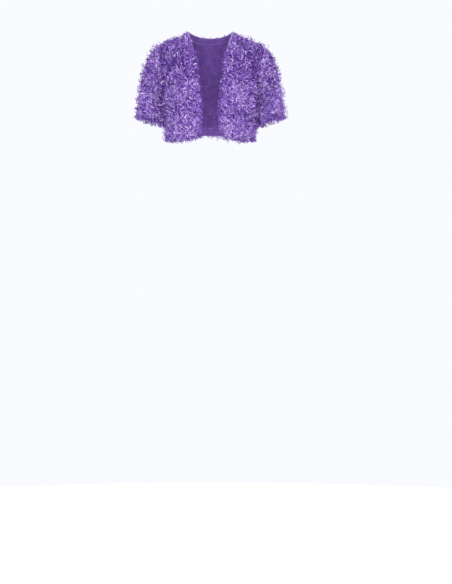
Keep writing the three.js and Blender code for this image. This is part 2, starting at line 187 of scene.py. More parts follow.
def tinsel_finish():
    finish = Finish("tinsel_pile")
    place = finish.node("ShaderNodeUVMap", {"uv_map": TINSEL_MAP})
    along = finish.node("ShaderNodeSeparateXYZ", {}, [place], output=0)
    shade = finish.node("ShaderNodeSeparateXYZ", {}, [place], output=1)
    long_way = finish.node("ShaderNodeCombineXYZ", {}, [along * BANDS_ALONG, shade * BANDS_SHUFFLED, 0.0])
    bands = finish.node(
        "ShaderNodeTexNoise",
        {"noise_dimensions": "2D"},
        {"Vector": long_way, "Scale": 1.0, "Detail": 1.0, "Roughness": 0.5},
    )
    twisted = shade + (bands - 0.5) * TWIST
    colour = finish.node("ShaderNodeValToRGB", {"stops": TINSEL_SHADES}, [twisted])
    # painted shade: the root is darkened, where little light comes in
    out_of_the_dark = (along * LIGHT_GAINED + ROOT_LIGHT).clamped()
    grey = finish.node("ShaderNodeCombineColor", {}, [out_of_the_dark] * 3)
    lit = finish.blend(1.0, colour, grey, "MULTIPLY")
    # painted highlight: short bands of foil turn near-white as glints, and are also more metallic and
    # smoother
    glint = ((bands - GLINT_FROM) * GLINT_SHARPNESS).clamped()
    colour = finish.blend(glint * 0.9, lit, GLINT_COLOUR)
    finish.shade(
        Base_Color=colour,
        Metallic=glint * 0.3 + 0.35,
        Roughness=0.5 - glint * 0.22,
    )
    finish.shader.inputs["Specular IOR Level"].default_value = 0.15
    return finish.material


tinsel = tinsel_finish()
print("tinsel finish:", len(tinsel.node_tree.nodes), "nodes")

# %% [markdown]
# The backing is a fine jersey knit, dyed to match. Its ribs run down the panel and the loops cross them,
# which a pair of sine waves in the bump shows well enough at this size. The hems are turned up inside and
# the fronts and the neck have a facing, so the cloth is double there, with a row of stitches just within.
# Two attributes, made further down, tell how far inside such a strip a point lies. At the neck the turned
# edge is smooth and pale.

# %% Backing finish
RIB_WIDTH = 1.6 * MM
LOOP_HEIGHT = 1.2 * MM
HEM_TURN = 32 * MM
CUFF_TURN = 30 * MM
FACING_WIDTH = 26 * MM
STITCH_LENGTH = 6 * MM
NECK_Z = -46 * MM
BARE_EDGE = 4 * MM
STITCH_INSET = 2.5 * MM
STITCH_SHARPNESS = 1100.0
STRIP_SHARPNESS = 900.0
KNIT_RELIEF = 1.2 * MM
RIBS_AT_SIDES = 0.6
MOTTLE_SCALE = 55.0
EDGE_SHARPNESS = 500.0
NECK_SHARPNESS = 80.0
KNIT_SHADES = [(0.25, (0.085, 0.032, 0.21)), (0.75, (0.17, 0.075, 0.36))]
STITCH_COLOUR = (0.36, 0.22, 0.58, 1)
NECK_EDGE_COLOUR = (0.46, 0.31, 0.68, 1)


def double_cloth(inside):
    """The strip's thickness and its stitches, from how far inside its edge a point lies."""
    strip = (inside * STRIP_SHARPNESS).clamped()
    stitches = (1 - (inside - STITCH_INSET).maths("ABSOLUTE") * STITCH_SHARPNESS).clamped()
    return strip, stitches


def backing_finish():
    finish = Finish("knit_backing")
    place = finish.node("ShaderNodeTexCoord", {}, [], output=3)
    x, y, z = (finish.node("ShaderNodeSeparateXYZ", {}, [place], output=i) for i in range(3))
    rib = ((x - y * RIBS_AT_SIDES) * (2 * math.pi / RIB_WIDTH)).maths("SINE")
    loop = (z * (2 * math.pi / LOOP_HEIGHT) + rib * 1.4).maths("SINE")
    knit = rib * 0.6 + loop * 0.4
    hem, facing = (
        finish.node("ShaderNodeAttribute", {"attribute_name": name}, [], output=2)
        for name in ("inside_hem", "inside_facing")
    )
    hem_strip, hem_stitches = double_cloth(hem)
    facing_strip, facing_stitches = double_cloth(facing)
    dashes = (((x + y + z) * (2 * math.pi / STITCH_LENGTH)).maths("SINE") * 4.0 + 2.5).clamped()
    stitches = (hem_stitches + facing_stitches).clamped() * dashes
    strip = hem_strip.maths("MAXIMUM", facing_strip)
    mottle = finish.node(
        "ShaderNodeTexNoise", {}, {"Vector": place, "Scale": MOTTLE_SCALE, "Detail": 4.0, "Roughness": 0.6}
    )
    shade = (knit * 0.12 + mottle * 0.9 + strip * 0.10).clamped()
    colour = finish.node("ShaderNodeValToRGB", {"stops": KNIT_SHADES}, [shade])
    colour = finish.blend(stitches * 0.8, colour, STITCH_COLOUR)
    at_edge = ((facing - (FACING_WIDTH - BARE_EDGE)) * EDGE_SHARPNESS).clamped()
    at_neck = ((z - NECK_Z) * NECK_SHARPNESS).clamped()
    colour = finish.blend(at_edge * at_neck, colour, NECK_EDGE_COLOUR)
    relief = knit * 0.15 + strip - stitches * 0.6
    bump = finish.node("ShaderNodeBump", {}, {"Strength": 0.6, "Distance": KNIT_RELIEF, "Height": relief})
    finish.shade(Base_Color=colour, Roughness=0.85, Normal=bump)
    finish.shader.inputs["Sheen Weight"].default_value = 0.15
    return finish.material


backing = backing_finish()
print("backing finish:", len(backing.node_tree.nodes), "nodes")

# %% [markdown]
# The backing of a panel is the inner face of the panel's wall: the faces that look towards the middle of
# the garment's hollow. For the fronts and the back that middle lies in the upright plane between them, level
# with the face but no higher than the chest. For a sleeve it is a line from the armhole to the cuff.

# %% Inner face of a panel's wall
CHEST_Z = -80 * MM
ARMHOLE_MIDDLE = Vector((0.145, 0.0, -0.104))
CUFF_MIDDLE = Vector((0.187, -0.003, -0.248))
LOOKS_IN = 0.35
HOLLOW_WIDTH = 0.55


def hollow_middle(panel, place):
    if panel.startswith("sleeve"):
        to_side = Vector((-1 if panel.endswith("right") else 1, 1, 1))
        start = ARMHOLE_MIDDLE * to_side
        sleeve = (CUFF_MIDDLE - ARMHOLE_MIDDLE) * to_side
        share = max(0.0, min(1.0, (place - start).dot(sleeve) / sleeve.length_squared))
        return start + sleeve * share
    return Vector((place.x * HOLLOW_WIDTH, 0, min(place.z, CHEST_Z)))


def merged_copy(panel):
    wall = bmesh.new()
    wall.from_mesh(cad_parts[panel].data)
    bmesh.ops.remove_doubles(wall, verts=wall.verts, dist=1e-6)
    return wall


def inner_face(panel):
    wall = merged_copy(panel)
    outer = []
    for face in wall.faces:
        place = face.calc_center_median()
        way_in = (hollow_middle(panel, place) - place).normalized()
        if face.normal.dot(way_in) < LOOKS_IN:
            outer.append(face)
    bmesh.ops.delete(wall, geom=outer, context="FACES")
    return wall


walls = {panel: merged_copy(panel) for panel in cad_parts}
print("wall faces:", {panel: len(wall.faces) for panel, wall in walls.items()})

# %% [markdown]
# The two triangles of each flat patch are joined into a quad again and every edge is cut in two with a
# little smoothing, so that the cloth bends softly. Its faces are turned round, so that they look outwards.

# %% Cloth of one panel
JOIN_ANGLE = math.radians(80)
SOFTNESS = 0.6


def soft_cloth(panel):
    cloth = inner_face(panel)
    bmesh.ops.join_triangles(
        cloth, faces=cloth.faces, angle_face_threshold=JOIN_ANGLE, angle_shape_threshold=JOIN_ANGLE
    )
    bmesh.ops.subdivide_edges(cloth, edges=cloth.edges, cuts=1, smooth=SOFTNESS, use_grid_fill=True)
    bmesh.ops.reverse_faces(cloth, faces=cloth.faces)
    cloth.normal_update()
    return cloth


cloths = {panel: soft_cloth(panel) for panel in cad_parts}
for panel, cloth in cloths.items():
    print(f"{panel}: {len(cloth.faces)} faces of cloth")

# %% [markdown]
# One filament is a three-sided spindle, closed at both ends. It starts straight, from a cone without caps
# that is cut into rings and pinched at its ends, and is then bent along a curl. Short ones make the dense
# undercoat. Longer ones with more rings make the curls on top of it, and the loops that hang from the hems
# have the most. A few dozen different curls are enough, because each copy is turned, stretched and tinted in
# its own way.

# %% Straight spindle
def straight_spindle(rings):
    shape = bmesh.new()
    bmesh.ops.create_cone(shape, segments=3, radius1=1, radius2=1, depth=1, cap_ends=False)
    long_edges = [edge for edge in shape.edges if abs(edge.verts[0].co.z - edge.verts[1].co.z) > 0.5]
    bmesh.ops.subdivide_edges(shape, edges=long_edges, cuts=rings)
    for end in (-0.5, 0.5):
        ring = [vertex for vertex in shape.verts if abs(vertex.co.z - end) < 1e-4]
        bmesh.ops.pointmerge(shape, verts=ring, merge_co=(0, 0, end))
    bmesh.ops.triangulate(shape, faces=shape.faces)
    bmesh.ops.recalc_face_normals(shape, faces=shape.faces)
    points = np.array([vertex.co for vertex in shape.verts])
    faces = np.array([[vertex.index for vertex in face.verts] for face in shape.faces])
    shape.free()
    return points, faces


undercoat_spindle = straight_spindle(rings=1)
curl_spindle = straight_spindle(rings=3)
loop_spindle = straight_spindle(rings=6)
for use, spindle in (("undercoat", undercoat_spindle), ("curl", curl_spindle), ("hem loop", loop_spindle)):
    print(f"{use}: {len(spindle[1])} faces")

# %% [markdown]
# A curl is a piece of a helix. The filament leaves the cloth at a lean, and its direction turns about an
# axis that lies almost flat on the cloth. The foil's wide side stays along that axis, as a ribbon's does
# when it is drawn over a blade.

# %% Curls
PATH_STEPS = 48
LOWEST = 0.25
CLEAR_OF_CLOTH = 8
TAPER = 0.35
TIP = 0.02
AXIS_TILT = 0.25
SIDE_LEAN = 0.3
chance = np.random.default_rng(20)


def turned(vector, axis, angle):
    """Rodrigues' formula, for a vector about a unit axis."""
    cosine, sine = np.cos(angle)[:, None], np.sin(angle)[:, None]
    along = axis * (vector @ axis)
    return vector * cosine + np.cross(axis, vector) * sine + along * (1 - cosine)


def bent_spindle(spindle, length, lean, turn, width, thickness, height, lateness=1.3, heading=None):
    """A spindle along a curl, in millimetres. A high lateness keeps the turn for the filament's end."""
    points, _ = spindle
    if heading is None:
        heading = chance.uniform(0, 2 * math.pi)
    out = np.array([math.cos(heading), math.sin(heading), 0])
    axis = np.array([-out[1], out[0], chance.uniform(-AXIS_TILT, AXIS_TILT)])
    axis /= np.linalg.norm(axis)
    start = out * math.sin(lean) + np.array([0, 0, math.cos(lean)])
    start += axis * chance.uniform(-SIDE_LEAN, SIDE_LEAN)
    steps = np.linspace(0, 1, PATH_STEPS)
    directions = turned(start / np.linalg.norm(start), axis, turn * steps**lateness)
    path = np.cumsum(directions, axis=0) * length / PATH_STEPS
    path -= path[0]
    path[:, 2] = np.maximum(path[:, 2], LOWEST * np.minimum(1, steps * CLEAR_OF_CLOTH))
    path[:, 2] *= height / path[:, 2].max()

    share = points[:, 2] + 0.5
    centre = np.stack([np.interp(share, steps, path[:, i]) for i in range(3)], axis=1)
    heading_there = np.stack([np.interp(share, steps, directions[:, i]) for i in range(3)], axis=1)
    flat = np.cross(heading_there, axis)
    flat /= np.linalg.norm(flat, axis=1)[:, None] + 1e-9
    girth = np.sqrt(np.sin(np.clip(share, TIP, 1 - TIP) * math.pi)) * (1 - TAPER * share)
    bent = centre + axis * (points[:, 1] * girth * width / 2)[:, None]
    return bent + flat * (points[:, 0] * girth * thickness / 2)[:, None]


print("filaments bend in", PATH_STEPS, "steps")

# %% [markdown]
# Five kinds of curl make the pile, with their lengths, widths and heights in millimetres. The undercoat
# leans over and bends a little. Top curls turn by a quarter to almost three quarters of a circle. Strays and
# loose loops stand up first and curl at their ends. A hem loop turns by two thirds of a circle or more in
# the plane of the cloth, as the loops under the hem do.

# %% Kinds of curl
NOMINAL_HEIGHT = 9.0
UNDERCOAT_HEIGHT = 8.0


def undercoat_curl():
    lean, length = chance.uniform(0.3, 0.9), chance.uniform(10, 14)
    turn = chance.uniform(0.5, 1.3)
    return bent_spindle(undercoat_spindle, length, lean, turn, 2.2, 0.8, UNDERCOAT_HEIGHT)


def top_curl():
    lean, turn = chance.uniform(-0.2, 0.5), chance.uniform(1.6, 4.4)
    return bent_spindle(curl_spindle, chance.uniform(15, 22), lean, turn, 2.0, 0.7, NOMINAL_HEIGHT)


def stray_curl():
    lean = chance.uniform(-0.5, 0.5)
    turn = chance.choice([-1, 1]) * chance.uniform(3.0, 6.0)
    length = chance.uniform(19, 27)
    return bent_spindle(curl_spindle, length, lean, turn, 2.0, 0.8, NOMINAL_HEIGHT, lateness=2.4)


def loose_loop():
    turn = chance.choice([-1, 1]) * chance.uniform(4.0, 7.0)
    lean, length = chance.uniform(-0.4, 0.4), chance.uniform(26, 34)
    return bent_spindle(curl_spindle, length, lean, turn, 2.6, 1.0, NOMINAL_HEIGHT, lateness=3.0)


def hem_loop():
    heading = chance.choice([0, math.pi]) + chance.uniform(-0.5, 0.5)
    lean, turn = chance.uniform(-1.1, -0.6), chance.uniform(4.2, 5.8)
    length = chance.uniform(20, 27)
    return bent_spindle(loop_spindle, length, lean, turn, 3.0, 1.2, NOMINAL_HEIGHT, 1.0, heading)


undercoat_curls = [undercoat_curl() for _ in range(24)]
top_curls = [top_curl() for _ in range(40)]
stray_curls = [stray_curl() for _ in range(30)]
loose_loops = [loose_loop() for _ in range(30)]
hem_loops = [hem_loop() for _ in range(30)]
forms = (undercoat_curls, top_curls, stray_curls, loose_loops, hem_loops)
print("forms of each kind:", [len(kind) for kind in forms])

# %% [markdown]
# The pile stands along the cloth's normal. At a free edge, such as the hem or the front edges, it fans out
# over the edge instead, because nothing holds it there. So each root needs its distance from the nearest
# free edge and the direction off it. An edge is a seam, not free, where another panel's edge lies on it.

# %% Free edges and seams
def unit(vectors):
    return vectors / np.linalg.norm(vectors, axis=1)[:, None]


SEAM_WIDTH = 6 * MM
DOWNWARDS = -0.6
RIM_STEP = 1.8 * MM
AT_A_TIME = 4000


def edge_points(cloth):
    """Middle of each edge on the rim, with the ways off the cloth, along the edge and out of the cloth."""
    found = []
    for edge in cloth.edges:
        if len(edge.link_faces) != 1:
            continue
        face = edge.link_faces[0]
        middle = (edge.verts[0].co + edge.verts[1].co) / 2
        along = (edge.verts[1].co - edge.verts[0].co).normalized()
        off = along.cross(face.normal).normalized()
        if off.dot(middle - face.calc_center_median()) < 0:
            off = -off
        found.append([middle, off, along, face.normal.copy()])
    return np.array(found)


def distance_between(points, others):
    """Each point's distance from the nearest of the others, and which one that is."""
    nearest = np.empty(len(points), int)
    distance = np.empty(len(points))
    for begin in range(0, len(points), AT_A_TIME):
        part = slice(begin, begin + AT_A_TIME)
        gaps = np.linalg.norm(points[part, None] - others[None], axis=2)
        nearest[part] = gaps.argmin(axis=1)
        distance[part] = gaps.min(axis=1)
    return distance, nearest


def distance_from(points, rim):
    """As above for a rim, with two more points along each of its edges so that the distance runs evenly."""
    if len(rim) == 0:
        return np.full(len(points), 1.0)
    between = [rim[:, 0] + rim[:, 2] * step for step in (-RIM_STEP, 0, RIM_STEP)]
    return distance_between(points, np.concatenate(between))[0]


def on_a_seam(panel):
    others = np.concatenate([rims[other][:, 0] for other in rims if other != panel])
    return distance_between(rims[panel][:, 0], others)[0] < SEAM_WIDTH


rims, free_rims, hems, front_edges, armholes = {}, {}, {}, {}, {}


def sort_rims():
    for panel, cloth in cloths.items():
        rims[panel] = edge_points(cloth)
    sleeves, bodies = (
        np.concatenate([rims[panel][:, 0] for panel in rims if panel.startswith("sleeve") == is_sleeve])
        for is_sleeve in (True, False)
    )
    for panel, rim in rims.items():
        sewn = on_a_seam(panel)
        free_rims[panel] = rim[~sewn]
        hangs_down = free_rims[panel][:, 1, 2] < DOWNWARDS
        hems[panel] = free_rims[panel][hangs_down]
        front_edges[panel] = free_rims[panel][~hangs_down]
        opposite = bodies if panel.startswith("sleeve") else sleeves
        armholes[panel] = rim[sewn & (distance_between(rim[:, 0], opposite)[0] < SEAM_WIDTH)]


sort_rims()
for panel, rim in rims.items():
    counts = f"{len(hems[panel])} on a hem, {len(armholes[panel])} on the armhole"
    print(f"{panel}: {len(rim)} edge points, {counts}")

# %% [markdown]
# The panel's solid ends where the fringe ends, so the cloth's own edge lies a little above it: ten
# millimetres at the hem, five to nine at the cuffs and a few at the front edges. The rows of cloth next to
# the edge are drawn back for this, most at the edge and less further in.

# %% Cloth drawn back from the fringe
HEM_FRINGE = 10 * MM
CUFF_FRINGE = ([155 * MM, 210 * MM], [9 * MM, 4.5 * MM])
FRONT_FRINGE = 2.5 * MM
FRONT_FRINGE_HEIGHTS = ([-300 * MM, -270 * MM, -120 * MM, -70 * MM], [0, 1, 1, 0])
DRAWN_BACK_OVER = 45 * MM


def places_of(cloth):
    return np.array([vertex.co for vertex in cloth.verts])


def draw_back(cloth, rim, amount, window=1.0):
    places = places_of(cloth)
    distance, nearest = distance_between(places, rim[:, 0])
    share = np.clip(1 - distance / DRAWN_BACK_OVER, 0, 1) * window
    moved = places - rim[nearest, 1] * (amount * share)[:, None]
    for vertex, place in zip(cloth.verts, moved):
        vertex.co = place


for panel, cloth in cloths.items():
    if panel.startswith("sleeve"):
        draw_back(cloth, hems[panel], np.interp(np.abs(places_of(cloth)[:, 0]), *CUFF_FRINGE))
    else:
        draw_back(cloth, hems[panel], HEM_FRINGE)
    if panel.startswith("front"):
        window = np.interp(places_of(cloth)[:, 2], *FRONT_FRINGE_HEIGHTS)
        draw_back(cloth, front_edges[panel], FRONT_FRINGE, window)
    cloth.normal_update()
sort_rims()
print("lowest cloth:", {panel: round(hems[panel][:, 0, 2].min(), 4) for panel in cloths})

# %% [markdown]
# The knit is a millimetre and a half thick. The thickness is laid on the cloth's outside, where the pile
# covers it, and makes the cloth a closed shell.

# %% Knitted backing of one panel
BACKING_THICKNESS = 1.5 * MM


def placed(name, mesh, material):
    piece = bpy.data.objects.new(name, mesh)
    bpy.context.scene.collection.objects.link(piece)
    mesh.materials.append(material)
    return piece


def made_object(name, shape, material):
    mesh = bpy.data.meshes.new(name)
    shape.to_mesh(mesh)
    shape.free()
    return placed(name, mesh, material)


def shell_of(cloth):
    shell = cloth.copy()
    bmesh.ops.solidify(shell, geom=shell.faces, thickness=-BACKING_THICKNESS)
    for face in shell.faces:
        face.smooth = True
    return shell


backings = {}
for panel, cloth in cloths.items():
    backings[panel] = made_object(f"cloth_{panel}", shell_of(cloth), backing)
    area = sum(face.calc_area() for face in cloth.faces)
    print(f"cloth_{panel}: {area:.4f} square metres, {len(backings[panel].data.polygons)} faces")

# %% [markdown]
# The distances from the hem and from the front edge and neck go onto the backing meshes, as how far inside
# the turned-up strip or the facing each point lies.

# %% How far inside the strips
def turn_up(panel):
    return CUFF_TURN if panel.startswith("sleeve") else HEM_TURN


def keep_inside(piece, name, width, rim):
    places = np.array([vertex.co for vertex in piece.data.vertices])
    inside = width - distance_from(places, rim)
    layer = piece.data.attributes.new(name, "FLOAT", "POINT")
    layer.data.foreach_set("value", inside.astype(np.float32))
    return (inside > 0).mean()


for panel, piece in backings.items():
    hem_share = keep_inside(piece, "inside_hem", turn_up(panel), hems[panel])
    facing_share = keep_inside(piece, "inside_facing", FACING_WIDTH, front_edges[panel])
    print(f"{panel}: {hem_share:.2f} of it under the hem, {facing_share:.2f} under the facing")

# %% [markdown]
# Roots are scattered at random over the cloth, so many to the square millimetre. Larger triangles get more
# of them, and the direction at a root is blended from the normals at the triangle's corners.

# %% Roots
SQUARE_MM_IN_SQUARE_METRE = 1e6


def scatter(cloth, per_square_mm):
    cloth.verts.index_update()
    corners = np.array([[loop.vert.index for loop in three] for three in cloth.calc_loop_triangles()])
    places = places_of(cloth)
    normals = np.array([vertex.normal for vertex in cloth.verts])
    first, second, third = (places[corners[:, i]] for i in range(3))
    areas = np.linalg.norm(np.cross(second - first, third - first), axis=1) / 2
    count = int(areas.sum() * SQUARE_MM_IN_SQUARE_METRE * per_square_mm)
    chosen = chance.choice(len(areas), size=count, p=areas / areas.sum())
    u, v = chance.random(count), chance.random(count)
    over = u + v > 1
    u[over], v[over] = 1 - u[over], 1 - v[over]
    weights = np.stack([1 - u - v, u, v], axis=1)[:, :, None]
    roots = (places[corners[chosen]] * weights).sum(axis=1)
    ways = (normals[corners[chosen]] * weights).sum(axis=1)
    return roots, unit(ways)


for panel, cloth in cloths.items():
    print(f"{panel}: {len(cloth.calc_loop_triangles())} triangles to scatter on")

# %% [markdown]
# The reach of the pile at a root is how far the outer wall of the panel's solid is, found with a ray along
# the normal. Where the cloth was drawn back it can lie a little inside the hollow, so that the ray meets the
# wall's inner face first, and it is then sent on from there. Between the sleeve and the body two panels face
# each other closely, and there the pile of both reaches half-way across and a little more.

# %% Reach
LONGEST_REACH = 13 * MM
SHORTEST_REACH = 1.2 * MM
EDGE_ZONE = 11 * MM
FACING_REACH = 30 * MM
MEETING_SHARE = 0.55
OFF_THE_CLOTH = 0.3 * MM
PAST_THE_FACE = 0.1 * MM


def reaches(panel, roots, ways):
    tree = BVHTree.FromBMesh(walls[panel])
    found = np.empty(len(roots))
    for i, (root, way) in enumerate(zip(roots, map(Vector, ways))):
        start = Vector(root) + way * OFF_THE_CLOTH
        hit, normal, _, _ = tree.ray_cast(start, way, LONGEST_REACH)
        if hit and normal.dot(way) < 0:
            hit = tree.ray_cast(hit + way * PAST_THE_FACE, way, LONGEST_REACH)[0]
        found[i] = (hit - start).length if hit else SHORTEST_REACH
    return np.clip(found, SHORTEST_REACH, LONGEST_REACH)


def meets_neighbour(panel, roots, ways, reach):
    """Longer pile where another panel's backing faces this one closely, so that the two piles meet."""
    met = reach.copy()
    for other, cloth in cloths.items():
        if other == panel:
            continue
        tree = BVHTree.FromBMesh(cloth)
        for i, (root, way) in enumerate(zip(roots, ways)):
            hit = tree.ray_cast(Vector(root) + Vector(way) * MM, Vector(way), FACING_REACH)
            if hit[3] is not None:
                met[i] = max(met[i], min(hit[3] * MEETING_SHARE, LONGEST_REACH))
    return met


def edge_shares(panel, roots):
    """How near each root is to a free edge, from 0 to 1, and the way off that edge."""
    rim = free_rims[panel]
    distance, nearest = distance_between(roots, rim[:, 0])
    return np.clip(1 - distance / EDGE_ZONE, 0, 1), rim[nearest, 1]


print(f"pile reaches {SHORTEST_REACH / MM:.1f} to {LONGEST_REACH / MM:.1f} mm")

# %% [markdown]
# The shades come in small clumps, because neighbouring filaments lie alike and catch the light together.
# A cheap way to get clumps is to hash the cells of a jittered grid about five millimetres wide: three
# large primes mix the cell's numbers, and the remainder gives one of about a thousand shades.

# %% Shade of each filament
CLUMP = 5.0 * MM
JITTER = 0.22
PRIMES = (73856093, 19349663, 83492791)
CLUMP_SHADES = 1009
CLUMP_SHARE = 0.38
OWN_SHARE = 0.62
CONTRAST = 1.68
GLINT_SHADE = 0.985


def clump_shade(roots):
    jitter = chance.normal(0, JITTER, roots.shape)
    cells = np.floor(roots / CLUMP + jitter).astype(np.int64)
    x, y, z = (cells * PRIMES).T
    return ((x ^ y ^ z) % CLUMP_SHADES) / CLUMP_SHADES


def shades(roots, low, high, glints, shift):
    """A shade from low to high for each root, and the near-white painted glint for a share of them."""
    clump = clump_shade(roots)
    own = chance.random(len(roots))
    spread = (CLUMP_SHARE * clump + OWN_SHARE * own - 0.5) * CONTRAST + 0.5
    shade = low + (high - low) * np.clip(spread + shift, 0, 1)
    # painted highlight: the near-white glint shade for a share of the filaments
    shade[chance.random(len(roots)) < glints] = GLINT_SHADE
    return shade


print("clumps of", round(CLUMP / MM, 1), "mm")

# %% [markdown]
# The sewing shows faintly through the pile. Where the hem is turned up and where the front facing ends, the
# filaments are caught under the stitches, so the pile is lower along these lines and carries painted shade
# there. A soft line is a bell curve over the distance from an edge.

# %% Lines of stitches
FACING_TOP = -130 * MM
LINE_WIDTH = 2.4 * MM
HEM_HOLD = 0.6


def line_at(distance, place, width=LINE_WIDTH):
    return np.exp(-(((distance - place) / width) ** 2))


def caught(panel, roots):
    """How firmly the stitches hold the pile down, from 0 to 1."""
    hem = HEM_HOLD * line_at(distance_from(roots, hems[panel]), turn_up(panel))
    facing = line_at(distance_from(roots, front_edges[panel]), FACING_WIDTH)
    facing *= (roots[:, 2] < FACING_TOP) & (panel.startswith("front"))
    return np.maximum(hem, facing)


print("stitches inside the edges, in mm:", [round(turn_up(panel) / MM) for panel in cloths])

# %% [markdown]
# The filaments' shades carry painted light and shade. Painted shade lies on the body's side of the armhole,
# where the cloth sinks in, low on the armhole, in the crease, and above the fullest place of a front.
# Painted highlights lie along the seam above, on the full sleeve head, on the sleeve's inner side and on the
# fullest place of a front. The pile is also painted lighter near the hem. At the neck the edge is turned
# over and its pile is short and pale. Broad patches of painted light and shade, standing in for soft folds,
# lie over all this.

# %% Painted light and shade
HEAD_LIGHT = ([-170 * MM, -125 * MM], [0, 1])
INNER_LIGHT = ([-215 * MM, -200 * MM, -150 * MM, -125 * MM], [0, 1, 1, 0])
INNER_LIGHT_X = 168 * MM
INNER_LIGHT_WIDTH = 9 * MM
CREASE = ([-135 * MM, -105 * MM], [1, 0])
SEAM_LIGHT = ([-150 * MM, -130 * MM, -85 * MM, -65 * MM], [0, 1, 1, 0])
SEAM_LIGHT_WIDTH = 9 * MM
HEAD_LIGHT_PLACE = 6 * MM
HEAD_LIGHT_WIDTH = 13 * MM
CREASE_WIDTH = 7 * MM
ARMHOLE_SHADE = 12 * MM
SHADE_OFF_SEAM = 13 * MM
FULLEST_X = 80 * MM
FULLEST_Z = -178 * MM
FULLEST_LIGHT = 26 * MM
CHEST_SHADE = 42 * MM
HEM_LIGHT = 62 * MM
FOLD_SHADING_WAVES = (90.0, 61.0)
# strengths of the painted light and shade, of the pale neck edge and of the painted shade along the stitches
STRENGTH = {
    "seam": 0.34,
    "sleeve head": 0.38,
    "inner side": 0.26,
    "crease": 0.18,
    "body": 0.24,
    "less of it high up": 0.10,
    "fullest place": 0.24,
    "above it": 0.14,
    "neck": 0.25,
    "hem": 0.17,
    "painted fold shading": 0.10,
    "stitches": 0.3,
}


def painted_fold_shading(roots):
    """Broad, uneven patches of painted light and shade for soft folds, from a few crossing waves."""
    x, y, z = roots.T
    waves = np.sin(FOLD_SHADING_WAVES[0] * (x + 0.7 * z) + 1.3 * np.sin(FOLD_SHADING_WAVES[1] * (z - x)))
    return waves * np.sin(FOLD_SHADING_WAVES[1] * (z + y - 0.4 * x) + 2.0 * np.sin(FOLD_SHADING_WAVES[0] * y))


def painted_armhole_light_and_shade(panel, roots):
    """Painted highlights and painted shade near the armhole, on its two sides."""
    distance = distance_from(roots, armholes[panel])
    height = roots[:, 2]
    seam = STRENGTH["seam"] * np.interp(height, *SEAM_LIGHT) * line_at(distance, 0, SEAM_LIGHT_WIDTH)
    high_up = np.interp(height, *HEAD_LIGHT)
    if panel.startswith("sleeve"):
        head = STRENGTH["sleeve head"] * high_up * line_at(distance, HEAD_LIGHT_PLACE, HEAD_LIGHT_WIDTH)
        inner = line_at(np.abs(roots[:, 0]), INNER_LIGHT_X, INNER_LIGHT_WIDTH)
        inner *= STRENGTH["inner side"] * np.interp(height, *INNER_LIGHT)
        crease = STRENGTH["crease"] * np.interp(height, *CREASE) * line_at(distance, 0, CREASE_WIDTH)
        return seam + head + inner - crease
    # painted shade on the body's side of the armhole, less of it high up
    strength = STRENGTH["body"] - STRENGTH["less of it high up"] * high_up
    return seam - strength * line_at(distance, SHADE_OFF_SEAM * high_up, ARMHOLE_SHADE)


def bare(panel, roots):
    """The neck's turned edge has no pile."""
    at_edge = distance_from(roots, front_edges[panel]) < BARE_EDGE
    return at_edge & (roots[:, 2] > NECK_Z)


def painted_chest_light_and_shade(roots):
    """Painted highlight on the fullest place of a front and painted shade above it."""
    from_fullest = np.hypot(np.abs(roots[:, 0]) - FULLEST_X, roots[:, 2] - FULLEST_Z)
    light = STRENGTH["fullest place"] * line_at(from_fullest, 0, FULLEST_LIGHT)
    return light - STRENGTH["above it"] * line_at(roots[:, 2], CHEST_Z, CHEST_SHADE)


# painted light and shade near the armhole, on a front and in soft folds, pile painted lighter near the hem,
# the pale neck edge and painted shade along the stitches, summed as one shift of shade
def tone_shift_with_painted_light(panel, roots):
    neck = STRENGTH["neck"] * edge_shares(panel, roots)[0] * (roots[:, 2] > NECK_Z)
    hem = STRENGTH["hem"] * line_at(distance_from(roots, hems[panel]), 0, HEM_LIGHT)
    chest = painted_chest_light_and_shade(roots) if panel.startswith("front") else 0
    # painted light and shade of soft folds
    painted_folds = STRENGTH["painted fold shading"] * painted_fold_shading(roots)
    # painted shade along the stitch lines, where the pile is pressed down
    stitches = STRENGTH["stitches"] * caught(panel, roots)
    return painted_armhole_light_and_shade(panel, roots) + neck + hem + chest + painted_folds - stitches


print("light and dark places:", len(STRENGTH))

# %% [markdown]
# Each filament is a copy of one curl, set into a small frame of its own: the pile's direction and two
# directions across it, turned at random. Only the loops of the fringe aren't, because they lie along the
# edge. All copies are made at once with arrays, which takes seconds where separate objects would take
# minutes.

# %% Filaments set on the cloth
SHADE_ACROSS = 0.006
SHADE_LIMITS = (0.001, 0.999)


def frames(ways, along=None):
    """Two directions across each way, turned at random or held along a rim."""
    if along is not None:
        flat = unit(along - ways * (along * ways).sum(axis=1)[:, None])
        return flat, np.cross(ways, flat)
    spin = chance.uniform(0, 2 * math.pi, len(ways))
    helper = np.where(np.abs(ways[:, 2:]) > 0.9, [[1.0, 0, 0]], [[0, 0, 1.0]])
    first = unit(np.cross(helper, ways))
    second = np.cross(ways, first)
    across = first * np.cos(spin)[:, None] + second * np.sin(spin)[:, None]
    return across, np.cross(ways, across)


